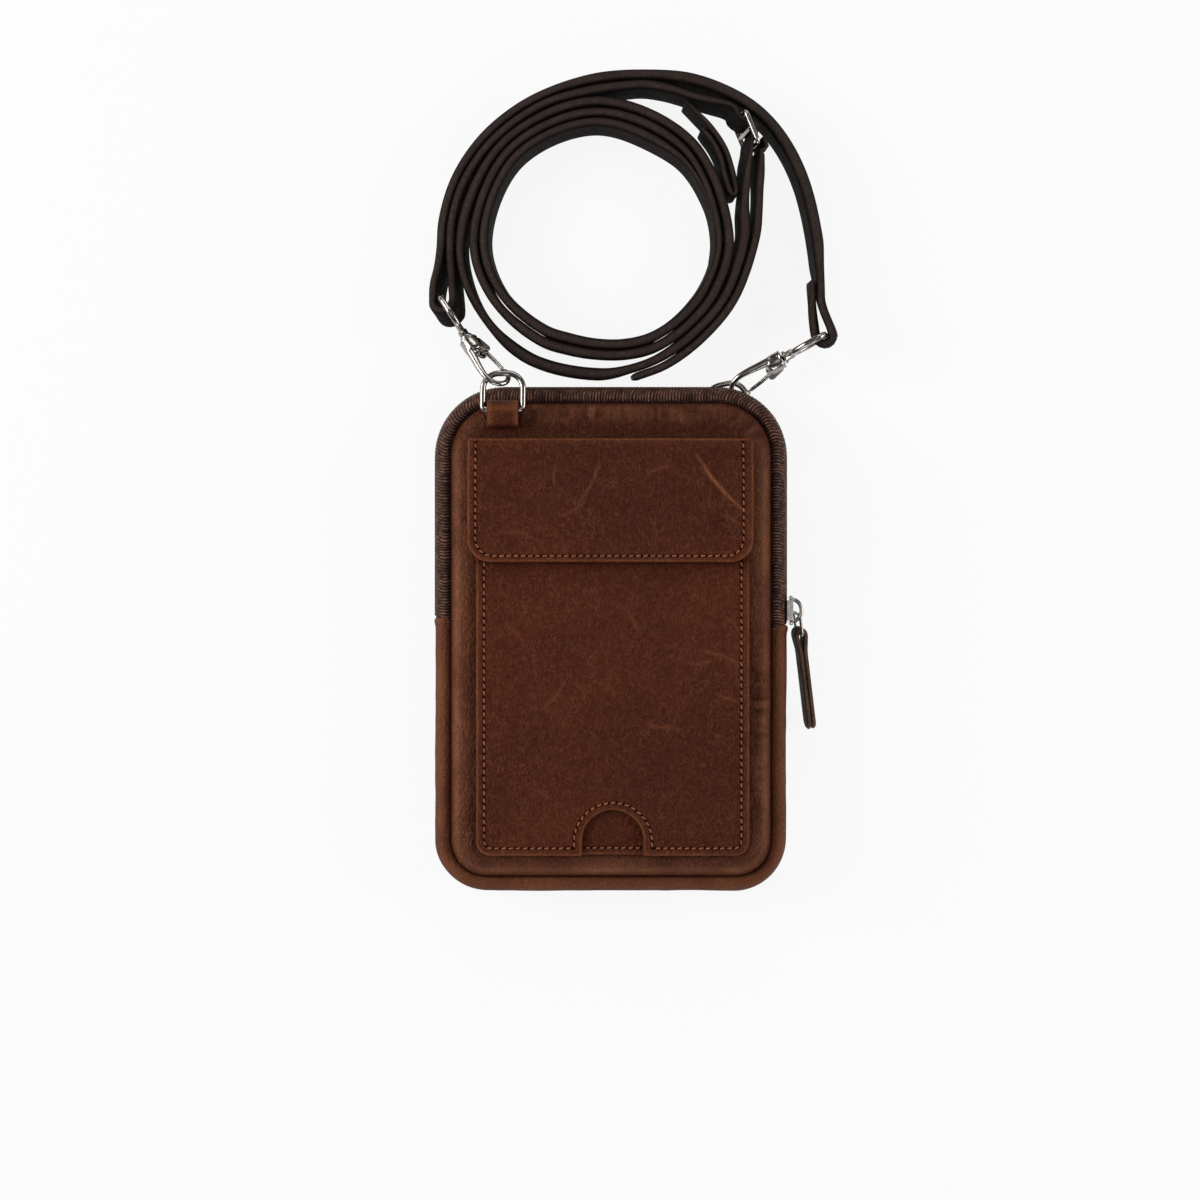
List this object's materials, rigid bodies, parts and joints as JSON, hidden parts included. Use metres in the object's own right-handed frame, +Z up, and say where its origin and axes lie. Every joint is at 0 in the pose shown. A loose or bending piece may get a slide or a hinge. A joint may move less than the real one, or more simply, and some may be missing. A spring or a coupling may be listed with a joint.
{
  "type": "crossbody bag",
  "caption": "Slim leather phone-size crossbody bag lying on its back, with a flapped front pocket, a zip round the top and a leather strap on snap hooks coiled beside it.",
  "frame": {"origin": "middle of the back face, on the surface the bag lies on", "axes": "+X to the right and +Y towards the top of the bag, where the strap is; +Z up out of the front pocket"},
  "size_m": [0.1477, 0.2934, 0.0289],
  "materials": {
    "bag_leather": "smooth brown leather with fine creases",
    "strap_leather": "dark edge-painted leather",
    "zip_tape": "woven dark brown tape",
    "zip_teeth": "dark brown coil teeth",
    "metal": "dark polished nickel"
  },
  "bodies": {
    "bag": {"front_panel": "bag_leather", "back_panel": "bag_leather", "gusset_leather": "bag_leather", "zip_tape_front": "zip_tape", "zip_tape_back": "zip_tape", "zip_coil": "zip_teeth", "zip_slider": "metal", "zip_pull_ring": "metal", "zip_pull_tab": "strap_leather", "pocket_backing": "bag_leather", "pocket_front": "bag_leather", "pocket_flap": "bag_leather", "ring_left": "metal", "ring_tab_left": "bag_leather", "ring_right": "metal", "ring_tab_right": "bag_leather", "hook_left_eye": "metal", "hook_right_eye": "metal", "strap": "strap_leather", "strap_overlay": "strap_leather", "strap_tail": "strap_leather", "strap_slide": "metal"},
    "hook_left": {"hook_left_body": "metal"},
    "gate_left": {"hook_left_gate": "metal"},
    "hook_right": {"hook_right_body": "metal"},
    "gate_right": {"hook_right_gate": "metal"}
  },
  "joints": [
    {"name": "hook_left_swivel", "type": "hinge", "parent": "bag", "child": "hook_left", "pos_m": [-0.05087, 0.10647, 0.01752], "axis": [-0.4964, 0.7681, -0.4045], "range_deg": [-2, 35]},
    {"name": "hook_left_gate_pin", "type": "hinge", "parent": "hook_left", "child": "gate_left", "pos_m": [-0.04496, 0.10239, 0.01809], "axis": [-0.3476, -0.6028, -0.7182], "range_deg": [0, 20], "stiffness_Nm_per_rad": 0.02},
    {"name": "hook_right_swivel", "type": "hinge", "parent": "bag", "child": "hook_right", "pos_m": [0.06178, 0.10077, 0.00916], "axis": [0.8716, 0.4668, 0.1495], "range_deg": [-2, 15]},
    {"name": "hook_right_gate_pin", "type": "hinge", "parent": "hook_right", "child": "gate_right", "pos_m": [0.05779, 0.0958, 0.0058], "axis": [-0.2356, 0.6665, -0.7073], "range_deg": [0, 20], "stiffness_Nm_per_rad": 0.02}
  ]
}
